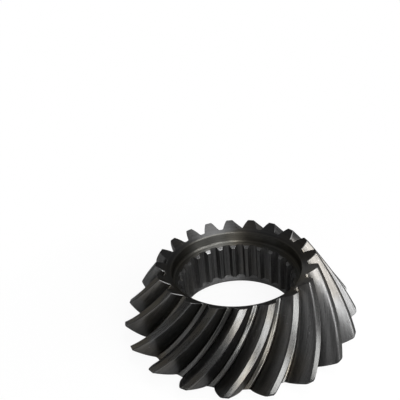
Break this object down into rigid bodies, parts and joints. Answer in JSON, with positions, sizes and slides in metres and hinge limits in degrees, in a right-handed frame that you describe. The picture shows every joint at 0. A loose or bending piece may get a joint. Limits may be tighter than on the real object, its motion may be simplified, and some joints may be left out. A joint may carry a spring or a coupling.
{
  "type": "spiral bevel transmission gear",
  "caption": "Ring-shaped spiral bevel gear with curved right-hand teeth, a pilot counterbore in its small end and an internally splined bore with a relief behind it.",
  "frame": {"origin": "centre of the flat back face, on the gear's axis", "axes": "+Z along the axis towards the small end of the teeth, +X through the middle of a tooth space at the small end and of a spline groove"},
  "size_m": [0.1798, 0.1798, 0.056],
  "materials": {
    "gear_steel": "dark machined steel, satin to lightly polished"
  },
  "bodies": {
    "root": {"bevel_gear": "gear_steel"}
  },
  "joints": []
}
